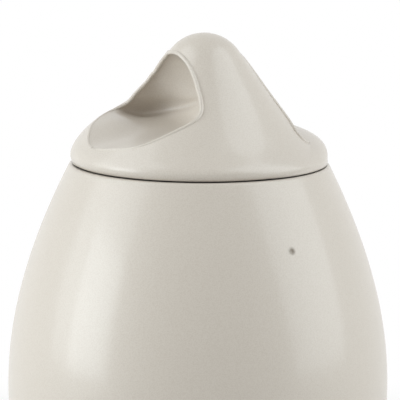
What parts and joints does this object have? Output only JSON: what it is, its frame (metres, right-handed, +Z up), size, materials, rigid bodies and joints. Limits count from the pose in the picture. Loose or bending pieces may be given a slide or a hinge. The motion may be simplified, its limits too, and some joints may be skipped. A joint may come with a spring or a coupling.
{
  "type": "egg coddler",
  "caption": "Egg-shaped porcelain coddler cup with a lift-off hollow lid, sculpted with a thumb hollow and a finger hollow, and a soft sealing ring.",
  "frame": {"origin": "centre of the foot ring, on the surface that the cup stands on", "axes": "+Z up along the axis of the cup, -Y towards the front of the lid, so that the thumb hollow opens to the left"},
  "size_m": [0.0726, 0.0726, 0.1009],
  "materials": {
    "cup_glaze": "satin off-white glaze on porcelain",
    "lid_glaze": "satin off-white glaze on porcelain",
    "ring_silicone": "matt dark silicone"
  },
  "bodies": {
    "cup": {"cup": "cup_glaze"},
    "seal": {"sealing_ring": "ring_silicone"},
    "lid": {"lid": "lid_glaze"}
  },
  "joints": [
    {"name": "lid_lift", "type": "slide", "parent": "cup", "child": "seal", "axis": [0, 0, 1], "range_m": [0, 0.07]},
    {"name": "lid_turn", "type": "hinge", "parent": "seal", "child": "lid", "pos_m": [0, 0, 0.076], "axis": [0, 0, 1], "continuous": true}
  ]
}
